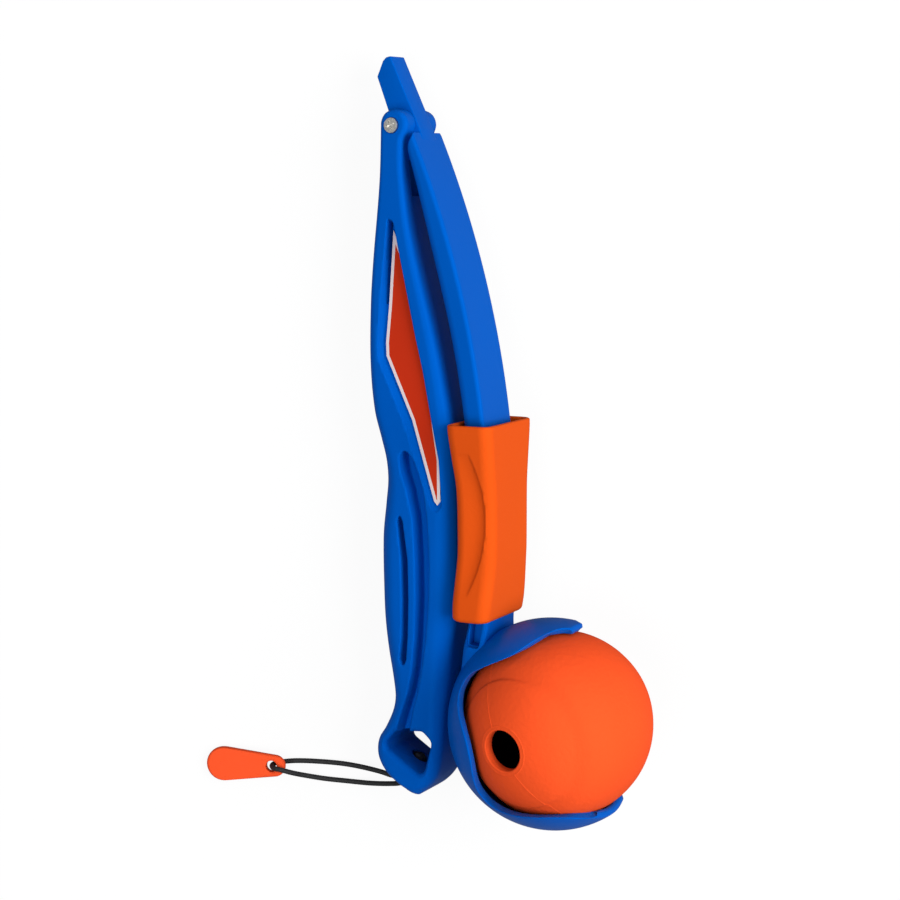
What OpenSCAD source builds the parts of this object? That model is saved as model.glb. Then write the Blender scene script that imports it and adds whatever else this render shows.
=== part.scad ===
// Folding dog ball launcher: a moulded handle and a curved throwing arm with a
// scooped cup fold together on a screw, and a sleeve on the arm slides over the
// hinge to lock them straight. A ball sits in the cup and a pull tag hangs from
// the handle's loop on a cord.
//
// The rigid pieces are drawn in one flat frame: the hinge axis is Z through the
// origin, the handle runs along -Y and the folded arm lies on its +X side.
// lay_down() then rolls the launcher on to its back, where it rests on its cup.

/* [Handle] */
// Thickness of the handle along the hinge axis
handle_t = 23; // [21:0.5:26]
// Distance from the hinge axis to the bottom of the loop
handle_l = 230; // [226:1:240]
// Reach of the grip's inner edge from the hinge axis, towards the arm
grip_x = 22; // [20:0.2:22.4]
// Rounding of the grip's long edges
grip_round = 6; // [4:0.5:8]
// Rounding of the fork's edges
fork_round = 1.8; // [1:0.2:2.5]
// Radius of the fork's rounded end
fork_r = 5.2; // [5:0.1:5.6]
// Rounding of the corners of the loop's opening
loop_corner_r = 2.4; // [1.6:0.1:2.8]
// Depth of the finger groove
groove_depth = 6; // [4:0.5:8]
// Depth of the narrow slot beside the groove
slot_depth = 7; // [4:0.5:9]

/* [Label] */
// Depth of the label's recess at its upper end
recess_depth = 3.2; // [2:0.1:4]
// Depth of the label's recess at its lower tip
recess_tip_depth = 0.9; // [0.8:0.1:1.6]
// Thickness of the label
label_t = 0.6; // [0.4:0.1:0.8]
// Width of the label's pale border
label_border_w = 1.1; // [0.8:0.1:1.5]

/* [Hinge] */
// Thickness of the arm's tongue between the fork's cheeks
tongue_t = 10; // [8:0.5:12]
// Gap between the tongue and each cheek
tongue_gap = 0.2; // [0.1:0.05:0.4]
// Distance that the tang reaches past the hinge axis
tang_reach = 23; // [20:0.5:26]
// Gap between the fork and the arm's shoulder, on the radius
shoulder_gap = 2; // [0.6:0.1:2.6]
// Diameter of the barrel that the tongue turns on
barrel_d = 5; // [4.4:0.1:5.6]
// Running clearance round the barrel, on the radius
barrel_gap = 0.05; // [0.02:0.01:0.1]
// Diameter of the barrel's flange
flange_d = 7.4; // [6.8:0.1:8]
// Thickness of the barrel's flange
flange_t = 1.2; // [0.8:0.1:1.8]
// Diameter of the screw's thread
screw_d = 3; // [2.5:0.1:3.4]
// Diameter of the screw's head
screw_head_d = 5; // [4.4:0.1:6]
// Height of the screw's head
screw_head_h = 1.8; // [1.4:0.1:2.4]
// How far the screw's head and the flange stand proud of the cheeks
head_proud = 0.5; // [0.2:0.1:0.7]

/* [Throwing arm] */
// Width of the arm, across the hinge axis
arm_w = 8; // [7:0.2:8.6]
// Thickness of the arm along the hinge axis
arm_t = 22; // [19:0.5:23]
// Rounding of the arm's long edges
arm_round = 1.6; // [1:0.2:2.4]
// Lean of the arm from the handle's axis, at the hinge
arm_lean = 24.75; // [24:0.25:26]
// Depth of the lightening pocket in each side of the arm, by the cup
arm_pocket = 4; // [2:0.5:6]

/* [Cup and ball] */
// Diameter of the ball
ball_d = 63.5; // [60:0.5:66]
// Room between the ball and the cup, on the radius
cup_room = 1.6; // [1.4:0.1:2]
// Wall of the cup
cup_wall = 2.9; // [2.2:0.1:3.6]
// Distance from the sleeve's foot to the cup's centre, along the handle
cup_drop = 34.5; // [32:0.5:38]
// Gap between the cup and the folded handle
cup_gap = 1.8; // [1:0.1:4]
// Wall of the hollow ball
ball_wall = 5.5; // [4.5:0.5:10]
// Diameter of the hole through the ball
ball_hole_d = 13; // [10:0.5:15]
// Height of the raised caps round the two ends of the ball's hole
ball_cap = 0.6; // [0.3:0.1:0.8]
// Gap between the ball and the end of the cup's lower lip
ball_gap = 0.36; // [0.32:0.02:0.6]

/* [Locking sleeve] */
// Length of the sleeve
sleeve_l = 67; // [60:1:72]
// Wall of the sleeve
sleeve_wall = 1.8; // [1.4:0.1:2.2]
// Room for the fork inside the sleeve's waist, across the hinge axis
sleeve_room_w = 0.5; // [0.3:0.1:0.8]
// Room for the fork inside the sleeve's waist, along the hinge axis
sleeve_room_t = 1.8; // [0.6:0.1:2.4]
// Sliding clearance between the sleeve's collar and the arm
sleeve_gap = 0.3; // [0.2:0.05:0.4]
// Length of the collar that guides the sleeve on the arm
collar_l = 26; // [18:1:32]
// Distance from the hinge axis to the sleeve's mouth, along the handle
sleeve_mouth = 99; // [97:0.5:99.5]

/* [Cord and tag] */
// Diameter of the cord
cord_d = 1.8; // [1.4:0.1:2]
// Diameter of the hole in the loop that takes both strands
cord_hole_d = 4.8; // [4.8:0.1:5.2]
// Diameter of the knot that holds the cord in the loop
knot_d = 6; // [5.8:0.1:6.4]
// Thickness of the pull tag
tag_t = 3; // [2.4:0.1:3.4]
// Diameter of the tag's hole
tag_hole_d = 4; // [3.6:0.1:4.6]

/* [Hidden] */
$fn = 64;
// A little extra, so that a cut passes the face that it opens
over = 1;

// The fork: its round end, and the slot that the tang sweeps through
knuckle = [0.6, 0.2];
cheek_z = tongue_t / 2 + tongue_gap;
shoulder_r = norm(knuckle) + fork_r + shoulder_gap;
tongue_r = fork_r - 0.2;
slot_r = tang_reach + 1.1;

// The handle's two edges, as [y, x]. The lower stretch is measured from the loop's bottom
low = -handle_l;
left_edge = [
    [0, knuckle[0] - fork_r], [-15, -5], [-25, -5.8], [-45, -8], [-60, -9.2], [-80, -9.6],
    [-96, -8.3], [-106, -5.8], [low + 117, -4.2], [low + 110, -3.8], [low + 102, -4.7],
    [low + 90, -6], [low + 70, -5.8], [low + 60, -5.2], [low + 50, -3.8], [low + 40, -1.8],
    [low + 34, -1], [low + 29, -1.8], [low + 23, -4.5], [low + 19, -7], [low + 15, -7.8],
    [low + 11, -7], [low + 7, -4.4], [low + 4, -0.6], [low + 1.5, 3.6], [low, 7.6]];
right_edge = [
    [0, knuckle[0] + fork_r], [-2, 5.2], [-4, 4], [-8, 3.6], [-15, 3.6], [-26, 4.8], [-34, 6],
    [-48, 9.2], [-61, 12.7], [-73, 15.8], [-87, 18.8], [-97, 20.6], [low + 120, grip_x - 0.3],
    [low + 100, grip_x], [low + 70, grip_x], [low + 60, 21.2], [low + 42, 19.4], [low + 30, 18],
    [low + 18, 17.4], [low + 12, 16.8], [low + 8, 15.8], [low + 5, 14], [low + 2, 11.2],
    [low, 8.4]];
// Rounding of the handle's long edges, as [y, radius]
edge_round = [
    [0, fork_round], [-20, fork_round], [-60, 2.8], [-100, 4], [low + 100, grip_round],
    [low + 50, grip_round], [low + 25, 4.4], [low, 4.4]];
// Rounding of the loop's bottom, from face to face
loop_end_round = 4;

// The label's recess and the label in it, as [x, y] from the hinge axis
recess_top = -31;
recess_pts = [
    [-1.6, recess_top], [-4.6, -60], [-5.6, -74], [-5.2, -79], [4.4, -99.5], [14.6, -128],
    [17, -130], [18.8, -128], [18.2, -112], [15.6, -98], [12.6, -82], [9.9, -71], [7.9, -62],
    [4.4, -46], [0.8, recess_top - 1]];
label_pts = [
    [-0.6, -35], [-2, -60], [-3.1, -73], [-2.9, -77.5], [7.2, -99], [15.8, -126], [17, -127.4],
    [18.1, -126], [17.8, -112], [15.4, -98], [12.4, -82], [9.7, -71], [7.7, -62], [4.2, -46]];
recess_tilt = atan((recess_depth - recess_tip_depth) / 99);

// Finger groove and slot, as [height above the loop's bottom, left x, right x]
groove = [
    [120.5, 3.6, 5.2], [118, 2.6, 7.6], [113, 3.2, 9.8], [107, 5.4, 11.6], [97, 7.7, 13.1],
    [83, 8.5, 13.8], [70, 8.8, 13.6], [55, 8.2, 12.4], [44, 7.2, 10.8], [37, 5.8, 9.4],
    [30, 3.4, 7.4], [22, 0.8, 6], [16, 0.4, 5.8]];
slot = [
    [98, 2.2, 3], [96, 1.6, 3.8], [83, 3, 5.6], [69, 3.4, 5.9], [56, 3.2, 5.6], [48, 2.4, 5],
    [46, 3.2, 4.2]];
// Corners of the loop's opening, as [x, height above the loop's bottom]
loop_corners = [[-0.8, 17.2], [9.4, 10.6], [11.6, 19], [9.8, 20.6], [1.4, 19.8]];

// The hole that takes the cord out through the loop's lower bar, and the knot's seat in it
cord_hole_angle = 236;
cord_hole_at = [4.2, low + 11.2, -1];
knot_seat = 5;

// The cup, the ball and the arm's bend, which runs from the hinge to the cup
cup_ri = ball_d / 2 + cup_room;
cup_ro = cup_ri + cup_wall;
cup_y = -sleeve_mouth - sleeve_l - cup_drop;
cup_c = [edge_at(right_edge, cup_y) + cup_gap + cup_ro, cup_y];
// The rim of the cup, seen along the hinge axis, in cup radii
scoop = [
    [0.23, 1.04], [0.21, 0.975], [0.16, 0.932], [0.11, 0.908], [0.06, 0.886], [0.015, 0.852],
    [-0.03, 0.804], [-0.115, 0.74], [-0.23, 0.683], [-0.36, 0.63], [-0.495, 0.576], [-0.575, 0.524],
    [-0.636, 0.456], [-0.668, 0.366], [-0.66, 0.277], [-0.62, 0.178], [-0.54, 0.06], [-0.474, -0.08],
    [-0.446, -0.24], [-0.452, -0.416], [-0.445, -0.54], [-0.395, -0.65], [-0.275, -0.718],
    [-0.1, -0.734], [0.1, -0.721], [0.26, -0.706], [0.39, -0.711], [0.48, -0.73], [0.54, -0.745],
    [0.6, -0.75], [0.65, -0.762], [0.7, -0.79]];
// The ball leans out of the cup, against the end of the lower lip, which lies in this direction
lip = [0.582, -0.813];
ball_drop = 0.25;
ball_c = cup_c + [(cup_room - ball_gap + lip[1] * ball_drop) / lip[0], -ball_drop];
ball_tilt = [5.5, -12.3, 0];
ball_cap_r = 21.8;

// The arm's centre line is an arc that passes the hinge at this offset
arm_offset = 1.8;
arm_dir = [cos(arm_lean), sin(arm_lean)];
arm_from = arm_offset * arm_dir;
arm_to = cup_c + [12.2 - cup_ro, cup_ro - 1];
arm_r = pow(norm(arm_to - arm_from), 2) / (-2 * (arm_to - arm_from) * arm_dir);
arm_c = arm_from - arm_r * arm_dir;
arm_start = arm_lean - 0.75;
arm_end = asin((arm_to[1] - arm_c[1] - 21) / arm_r);
// The lightening pockets lie between the sleeve and the cup
pocket_rim = 1.5;
pocket_from = -5.2;
pocket_span = 12;
// The arm's inner face is cut flat by the hinge, to clear the folded handle's neck
root_lean = 15;
root_off = 2.75;

// The sleeve's sections, as [distance from the mouth, centre's x, width, depth]
fork_w = 2 * fork_r;
waist_w = fork_w + 2 * (sleeve_room_w + sleeve_wall);
waist_t = handle_t + 2 * (sleeve_room_t + sleeve_wall);
sleeve_x = arm_c[0] + sqrt(pow(arm_r, 2) - pow(sleeve_mouth + arm_c[1], 2)) + 0.3;
sleeve_form = [
    [0, 0, waist_w + 1.8, waist_t + 5.2], [3, 0.1, waist_w + 1.7, waist_t + 5],
    [12, 0.5, waist_w + 0.9, waist_t + 3], [24, 1, waist_w + 0.1, waist_t + 0.6],
    [34, 1.3, waist_w, waist_t], [44, 1.4, waist_w, waist_t + 0.4], [54, 1.2, waist_w, waist_t + 2],
    [62, 1, waist_w - 0.2, waist_t + 3], [sleeve_l, 0.9, waist_w - 0.8, waist_t + 2.6]];
sleeve_round = 4;
// The leaf-shaped dent in the sleeve's front and back: its arc, its section and its place
dent_r = 200;
dent_section_r = 7;
dent_depth = 0.9;
dent_turn = 20;
socket_l = sleeve_l - collar_l;

// The laid-down pose: turned about X, then about Y, then moved on to the floor
lay_turn = [0.52, -25.19, 0];
lay_move = [-36, 107.7,
    cup_ro + sin(lay_turn[1]) * cup_c[0] - cos(lay_turn[1]) * sin(lay_turn[0]) * cup_c[1]];

// The pull tag's outline, from its hole, and where it lies. Its round end is on the floor
tag_wide_r = 6.1;
tag_narrow_r = 3.9;
tag_tail = 23.8;
tag_tip = 4.9;
tag_at = [-84.3, -117.7, 4.6];
tag_tilt = asin((tag_at[2] - tag_t / 2) / tag_tail);

// The cord's route in the laid-down frame: out of the loop, through the tag and back
cord_route = [
    [-32.9, -112.4, 12.2], [-34.4, -114.9, 11.5], [-36, -117.5, 10.7], [-37.8, -119.3, 9.6],
    [-40.8, -120, 7.8], [-45.8, -119.2, 5.2], [-53, -118.3, 2.4],
    [-60.4, -117.5, 1.1], [-69.3, -116.9, 1], [-76, -116.8, 1], [-80.7, -117.2, 1],
    [-83.3, -117.5, 2], [-84.3, -117.7, 4.6], [-83.3, -118, 7.2], [-80.7, -118.3, 8.2],
    [-77, -119.8, 6.4], [-72.7, -121.6, 3], [-65.8, -123.2, 1.1], [-58.6, -123.9, 1.1],
    [-49.5, -124.2, 2.8], [-42.2, -123.4, 6], [-38.2, -122.3, 8.6], [-35.2, -120.1, 11],
    [-34.4, -118.7, 11.5], [-32.8, -116.2, 12.25], [-31.3, -113.6, 13]];

// Smooth curve through a table's rows, read in column c at one key of column 0
function slope(t, c, i) =
    let (a = max(i - 1, 0), b = min(i + 1, len(t) - 1)) (t[b][c] - t[a][c]) / (t[b][0] - t[a][0]);
function row_at(t, key, i = 0) =
    i >= len(t) - 2 || (key - t[i + 1][0]) * (t[0][0] - t[1][0]) >= 0 ? i : row_at(t, key, i + 1);
function edge_at(t, key, c = 1) =
    let (i = row_at(t, key), d = t[i + 1][0] - t[i][0], s = (key - t[i][0]) / d)
    t[i][c] * (1 + 2 * s) * pow(1 - s, 2) + t[i + 1][c] * s * s * (3 - 2 * s)
    + d * s * (1 - s) * (slope(t, c, i) * (1 - s) - slope(t, c, i + 1) * s);

// Points of a smooth line through given points, with n steps from each to the next
function bend(p, i, s) =
    let (a = p[max(i - 1, 0)], b = p[i], c = p[i + 1], d = p[min(i + 2, len(p) - 1)])
    (2 * b + (c - a) * s + (2 * a - 5 * b + 4 * c - d) * s * s + (3 * b - a - 3 * c + d) * s * s * s) / 2;
function smooth(p, n) =
    concat([for (i = [0 : len(p) - 2], k = [0 : n - 1]) bend(p, i, k / n)], [p[len(p) - 1]]);

// A rounded box section at one y, from x0 to x1 and from -h to h, with corners of radius r
corner_n = 4;
function ring(x0, x1, y, h, r) =
    let (q = min(r, (x1 - x0) * 0.49, h * 0.98))
    [for (k = [0 : 3], s = [0 : corner_n]) let (a = 90 * (k + s / corner_n))
        [(k % 3 == 0 ? x1 - q : x0 + q) + q * cos(a), y, (k < 2 ? h - q : q - h) + q * sin(a)]];

// A solid through rings that all have the same number of points
module loft(rings) {
    m = len(rings[0]);
    n = len(rings);
    polyhedron(
        points = [for (r = rings) each r],
        faces = concat(
            [[for (j = [0 : m - 1]) j], [for (j = [m - 1 : -1 : 0]) (n - 1) * m + j]],
            [for (i = [0 : n - 2], j = [0 : m - 1], half = [0, 1])
                let (a = i * m + j, b = i * m + (j + 1) % m)
                half == 0 ? [a, a + m, b + m] : [a, b + m, b]]));
}

// A rounded bar section about the origin
module bar(w, t, r) {
    square([w - 2 * r, t], center = true);
    square([w, t - 2 * r], center = true);
    for (x = [-1, 1], y = [-1, 1])
        translate([x * (w / 2 - r), y * (t / 2 - r)]) circle(r);
}

// A stretch of the arm's arc, between two angles, with a bar section
module arm_arc(from, to, w, t, r)
    translate(arm_c) rotate(to) rotate_extrude(angle = from - to, $fn = 256)
        translate([arm_r, 0]) bar(w, t, r);

// Copies a cut on to the back face
module both_faces() {
    children();
    mirror([0, 0, 1]) children();
}

// A cut from the front face to a depth, with left and right edges given by height
module face_channel(table, depth)
    translate([0, 0, handle_t / 2 - depth])
        linear_extrude(depth + over)
            polygon(concat(
                [for (row = table) [row[1], low + row[0]]],
                [for (i = [len(table) - 1 : -1 : 0]) [table[i][2], low + table[i][0]]]));

// The slanted floor of the label's recess, with its children on it
module on_recess_floor()
    translate([0, recess_top, handle_t / 2 - recess_depth])
        rotate([-recess_tilt, 0, 0]) translate([0, -recess_top, 0]) children();

// The cord hole's frame, with Z out through the loop's bar
module in_cord_hole()
    translate(cord_hole_at) rotate([0, 90, cord_hole_angle]) children();

module lay_down() translate(lay_move) rotate(lay_turn) children();

// Stations of the handle's loft, closer together where its edges bend
handle_y = concat(
    [for (y = [0 : -2 : -8]) y], [for (y = [-12 : -6 : -102]) y],
    [for (v = [122 : -4 : 38]) low + v], [for (v = [36 : -2 : 6]) low + v],
    [for (v = [4.8, 3.6, 2.6, 1.7, 0.9, 0.3, 0]) low + v]);
function half_t(y) =
    let (d = min(y - low, loop_end_round), e = loop_end_round)
    handle_t / 2 - e + max(sqrt(e * e - pow(e - d, 2)), 0.4);

module handle_body() {
    loft([for (y = handle_y)
        ring(edge_at(left_edge, y), edge_at(right_edge, y), y, half_t(y), edge_at(edge_round, y))]);
    translate(knuckle) rotate_extrude() intersection() {
        bar(2 * fork_r, handle_t, fork_round);
        translate([0, -handle_t]) square(2 * handle_t);
    }
}

module handle() color("#1058a8") difference() {
    handle_body();
    // Fork slot, bores and seats of the hinge
    cylinder(r = slot_r, h = 2 * cheek_z, center = true);
    cylinder(d = screw_d + 2 * barrel_gap, h = handle_t);
    translate([0, 0, -handle_t]) cylinder(d = barrel_d + 2 * barrel_gap, h = handle_t);
    translate([0, 0, handle_t / 2 + head_proud - screw_head_h])
        cylinder(d = screw_head_d + 0.3, h = screw_head_h);
    translate([0, 0, -handle_t / 2 - head_proud]) cylinder(d = flange_d + 0.3, h = flange_t);
    // Recesses of the two faces
    both_faces() {
        on_recess_floor() linear_extrude(recess_depth + over) polygon(recess_pts);
        face_channel(groove, groove_depth);
        face_channel(slot, slot_depth);
    }
    // Loop and cord hole
    linear_extrude(2 * handle_t, center = true) hull()
        for (c = loop_corners) translate([c[0], low + c[1]]) circle(loop_corner_r, $fn = 32);
    in_cord_hole() translate([0, 0, -over]) {
        cylinder(d = cord_hole_d, h = 16);
        cylinder(d = knot_d + 0.6, h = knot_seat + over);
    }
}

module label_panel() color("#b8301a") on_recess_floor() linear_extrude(label_t)
    offset(delta = -label_border_w) polygon(label_pts);

module label_border() color("#e9d9d6") on_recess_floor() linear_extrude(label_t) difference() {
    polygon(label_pts);
    offset(delta = -label_border_w) polygon(label_pts);
}

// The flat tongue and its tang, along the arm's direction at the hinge
module tongue() linear_extrude(tongue_t, center = true) {
    circle(tongue_r);
    rotate(arm_lean) polygon([
        [-2.6, -12], [-2.6, 0], [-1.2, tang_reach - 4.4], [3, tang_reach - 0.6], [4.6, tang_reach],
        [6.2, tang_reach - 0.4], [6.2, -4], [5.2, -12]]);
}

// A ball about the cup's centre, with one pole in the cup's opening
module cup_ball(r) translate(cup_c) rotate([0, 90, 0]) sphere(r);

// The cup's outside, cut open by its rim
module cup_shell() difference() {
    cup_ball(cup_ro);
    translate(cup_c) linear_extrude(2 * cup_ro + 2, center = true)
        polygon(cup_ro * concat(smooth(scoop, 3), [[1.2, -0.79], [1.2, 1.04]]));
}

module throwing_arm() color("#1058a8") difference() {
    union() {
        difference() {
            arm_arc(arm_start, arm_end, arm_w, arm_t, arm_round);
            cylinder(r = shoulder_r, h = 2 * arm_t, center = true);
            rotate(root_lean) translate([root_off - 40, -60, -arm_t]) cube([40, 80, 2 * arm_t]);
        }
        tongue();
        cup_shell();
    }
    cup_ball(cup_ri);
    cylinder(d = barrel_d + 2 * barrel_gap, h = 2 * tongue_t, center = true);
    both_faces() translate(arm_c) rotate(pocket_from) rotate_extrude(angle = pocket_span, $fn = 256)
        translate([arm_r - arm_w / 2 + pocket_rim, arm_t / 2 - arm_pocket])
            square([arm_w - 2 * pocket_rim, arm_pocket + over]);
}

module locking_sleeve() color("#f56a1e") difference() {
    loft([for (d = concat([0, 1], [for (s = [4 : 4 : sleeve_l - 3]) s], [sleeve_l - 1, sleeve_l]))
        sleeve_ring(d, 0)]);
    loft(concat(
        [for (y = [over]) [for (p = sleeve_ring(0, sleeve_wall)) p + [0, y, 0]]],
        [for (d = [0 : 4 : socket_l]) sleeve_ring(d, sleeve_wall)]));
    arm_arc(arm_start, arm_end, arm_w + 2 * sleeve_gap, arm_t + 2 * sleeve_gap, arm_round);
    both_faces() translate([sleeve_x + 1.3, -sleeve_mouth - sleeve_l / 2, 0]) rotate([0, dent_turn, 0])
        translate([0, 0, waist_t / 2 - dent_depth + dent_r]) rotate([0, 90, 0])
            rotate_extrude($fn = 256) translate([dent_r - dent_section_r, 0]) circle(dent_section_r);
}
function sleeve_ring(d, wall) =
    let (x = sleeve_x + edge_at(sleeve_form, d), w = edge_at(sleeve_form, d, 2) / 2 - wall)
    ring(x - w, x + w, -sleeve_mouth - d, edge_at(sleeve_form, d, 3) / 2 - wall, sleeve_round - wall);

module pivot_barrel() color("#9a9da2") difference() {
    union() {
        translate([0, 0, -handle_t / 2 - head_proud]) cylinder(d = flange_d, h = flange_t);
        translate([0, 0, -handle_t / 2]) cylinder(d = barrel_d, h = handle_t / 2 + tongue_t / 2);
    }
    translate([0, 0, -tongue_t]) cylinder(d = screw_d + 2 * barrel_gap, h = 2 * tongue_t);
}

module pivot_screw() color("#9a9da2") difference() {
    union() {
        translate([0, 0, -tongue_t / 2]) cylinder(d = screw_d, h = handle_t / 2 + tongue_t / 2);
        translate([0, 0, handle_t / 2 + head_proud - screw_head_h])
            cylinder(d = screw_head_d, h = screw_head_h);
    }
    for (a = [20, 110])
        rotate(a) translate([0, 0, handle_t / 2 + head_proud]) cube([3.2, 0.7, 1.8], center = true);
}

module ball() color("#ff6a30") translate(ball_c) rotate(ball_tilt) difference() {
    union() {
        sphere(ball_d / 2);
        intersection() {
            sphere(ball_d / 2 + ball_cap);
            cylinder(r = ball_cap_r, h = 2 * ball_d, center = true);
        }
    }
    sphere(ball_d / 2 - ball_wall);
    cylinder(d = ball_hole_d, h = 2 * ball_d, center = true);
}

module lanyard_cord() color("#15161a") {
    line = smooth(cord_route, 2);
    n = len(line);
    loft([for (i = [0 : n - 1])
        let (t = line[min(i + 1, n - 1)] - line[max(i - 1, 0)],
             u = cross(t, [0.2, -1, 0.1]) / norm(cross(t, [0.2, -1, 0.1])),
             v = cross(t, u) / norm(t))
        [for (k = [0 : 7]) line[i] + cord_d / 2 * (cos(45 * k) * u + sin(45 * k) * v)]]);
}

module cord_knot() color("#15161a") in_cord_hole() translate([0, 0, knot_seat - knot_d / 2 - 0.1])
    difference() {
        sphere(d = knot_d);
        translate([0, 0, -0.6]) cylinder(d = cord_hole_d - 0.6, h = knot_d);
    }

// Two discs and the straight sides that touch both
module tag_outline() {
    d = tag_tail - tag_wide_r + tag_tip - tag_narrow_r;
    s = (tag_wide_r - tag_narrow_r) / d;
    c = sqrt(1 - s * s);
    translate([tag_tip - tag_narrow_r, 0]) {
        circle(tag_narrow_r);
        translate([-d, 0]) circle(tag_wide_r);
        polygon([
            [tag_narrow_r * s, tag_narrow_r * c], [tag_wide_r * s - d, tag_wide_r * c],
            [tag_wide_r * s - d, -tag_wide_r * c], [tag_narrow_r * s, -tag_narrow_r * c]]);
    }
}

module pull_tag() color("#ff5f2d") translate(tag_at) rotate([0, -tag_tilt, 0])
    linear_extrude(tag_t, center = true) difference() {
        tag_outline();
        circle(d = tag_hole_d);
    }

lay_down() handle();
lay_down() label_panel();
lay_down() label_border();
lay_down() throwing_arm();
lay_down() locking_sleeve();
lay_down() pivot_barrel();
lay_down() pivot_screw();
lay_down() ball();
lanyard_cord();
lay_down() cord_knot();
pull_tag();
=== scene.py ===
"""Folding dog ball launcher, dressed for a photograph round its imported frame.

Each piece is a numpy surface: rings of points in millimetres, drawn in the flat frame of the
part's source, where the hinge axis is Z through the origin and the handle runs along -Y. laid()
rolls the points on to the launcher's back and turns them into metres.
"""

import math

import bmesh
import bpy
import numpy as np
from bpy.props import FloatProperty, FloatVectorProperty, PointerProperty
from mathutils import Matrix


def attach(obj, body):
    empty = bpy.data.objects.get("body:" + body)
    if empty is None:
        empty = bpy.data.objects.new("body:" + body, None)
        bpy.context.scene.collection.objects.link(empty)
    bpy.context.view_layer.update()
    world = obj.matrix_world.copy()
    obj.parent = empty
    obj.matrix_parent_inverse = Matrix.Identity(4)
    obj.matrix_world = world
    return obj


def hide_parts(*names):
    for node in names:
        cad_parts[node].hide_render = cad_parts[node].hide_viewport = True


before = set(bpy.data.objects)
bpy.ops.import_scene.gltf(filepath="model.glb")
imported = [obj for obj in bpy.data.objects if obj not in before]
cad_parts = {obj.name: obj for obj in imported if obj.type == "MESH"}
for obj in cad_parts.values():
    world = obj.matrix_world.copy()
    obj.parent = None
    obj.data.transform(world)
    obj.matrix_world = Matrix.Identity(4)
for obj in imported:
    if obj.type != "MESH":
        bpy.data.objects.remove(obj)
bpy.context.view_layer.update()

bl_info = {
    "name": "Folding ball launcher",
    "version": (1, 0, 0),
    "blender": (4, 5, 0),
    "location": "View3D > Sidebar > Launcher",
    "description": "Builds the moulded pieces of a folding ball launcher round its packed frame",
    "category": "Add Mesh",
}

MM = 0.001
# Takes points from the front face to the back
MIRROR = np.array([1, 1, -1])

# The laid-down pose: turned about X, then Y, in degrees, then moved, in millimetres
LAY_TURN = (0.52, -25.19)
LAY_MOVE = np.array([-36.0, 107.7, 14.0575])

# The handle's edges and the rounding of its long edges, as [y, x] and [y, radius]
LOOP_BOTTOM = -230.0
# Where the rings close up towards the loop's bottom, and their spacing above that
LOOP_FROM, RING_STEP = -205.0, 1.2
LEFT_EDGE = np.array([
    [0, -4.6], [-15, -5], [-25, -5.8], [-45, -8], [-60, -9.2], [-80, -9.6], [-96, -8.3],
    [-106, -5.8], [-113, -4.2], [-120, -3.8], [-128, -4.7], [-140, -6], [-160, -5.8],
    [-170, -5.2], [-180, -3.8], [-190, -1.8], [-196, -1], [-201, -1.8], [-207, -4.5],
    [-211, -7], [-215, -7.8], [-219, -7], [-223, -4.4], [-226, -0.6], [-228.5, 3.6], [-230, 7.6]])
RIGHT_EDGE = np.array([
    [0, 5.8], [-2, 5.2], [-4, 4], [-8, 3.6], [-15, 3.6], [-26, 4.8], [-34, 6], [-48, 9.2],
    [-61, 12.7], [-73, 15.8], [-87, 18.8], [-97, 20.6], [-110, 21.7], [-130, 22], [-160, 22],
    [-170, 21.2], [-188, 19.4], [-200, 18], [-212, 17.4], [-218, 16.8], [-222, 15.8],
    [-225, 14], [-228, 11.2], [-230, 8.4]])
EDGE_ROUND = np.array([
    [6, 1.8], [0, 1.8], [-20, 1.8], [-60, 2.8], [-100, 4], [-130, 6], [-180, 6], [-205, 4.4],
    [-230, 4.4]])

# The fork: its round end, and the radius and half width of the slot for the arm's tongue
KNUCKLE = np.array([0.6, 0.2])
FORK_R = 5.2
FORK_SLOT = (24.1, 5.2)
# The hinge in the fork, as bore radius, seat radius and the seat's floor, for screw and barrel
BARREL_BORE = 2.55
SCREW_SEAT, BARREL_SEAT = (1.55, 2.65, 10.2), (BARREL_BORE, 3.85, -10.8)

# The label's recess: its rim on the face and the outline of its floor, point for point, which share
# the steep wall on the right
RECESS_WALL = [[17.6, -112], [14.7, -98], [11.6, -82], [8.9, -71], [6.9, -62], [3.4, -46]]
RECESS_RIM = np.array([
    [-1.6, -31], [-4.6, -60], [-5.6, -74], [-5.2, -79], [4.4, -99.5], [14.6, -128], [17, -130],
    [18.8, -128], *RECESS_WALL, [0.5, -32]])
RECESS_FLOOR = np.array([
    [-1.5, -32], [-3.4, -60], [-4.2, -73.5], [-3.9, -78], [6.4, -99.4], [15, -126.8],
    [16.9, -128.6], [18.6, -127.2], *RECESS_WALL, [0.5, -33]])
# The deep gap between the upper left of the recess and the label
RECESS_GAP = np.array([
    [-1.5, -31.6], [-0.9, -33], [-1.1, -40], [-1.7, -50], [-2.5, -60], [-3.4, -60], [-3.2, -50],
    [-2.4, -40]])
RECESS_TOP, RECESS_TIP = -31.0, -130.0

# The finger groove and the slot beside it, as [y, left x, right x]
GROOVE = np.array([
    [-109.5, 3.6, 5.2], [-112, 2.6, 7.6], [-117, 3.2, 9.8], [-123, 5.4, 11.6], [-133, 7.7, 13.1],
    [-147, 8.5, 13.8], [-160, 8.8, 13.6], [-175, 8.2, 12.4], [-186, 7.2, 10.8], [-193, 5.8, 9.4],
    [-200, 3.4, 7.4], [-208, 0.8, 6], [-214, 0.4, 5.8]])
SLOT = np.array([
    [-132, 2.2, 3], [-134, 1.6, 3.8], [-147, 3, 5.6], [-161, 3.4, 5.9], [-174, 3.2, 5.6],
    [-182, 2.4, 5], [-184, 3.2, 4.2]])

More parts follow.
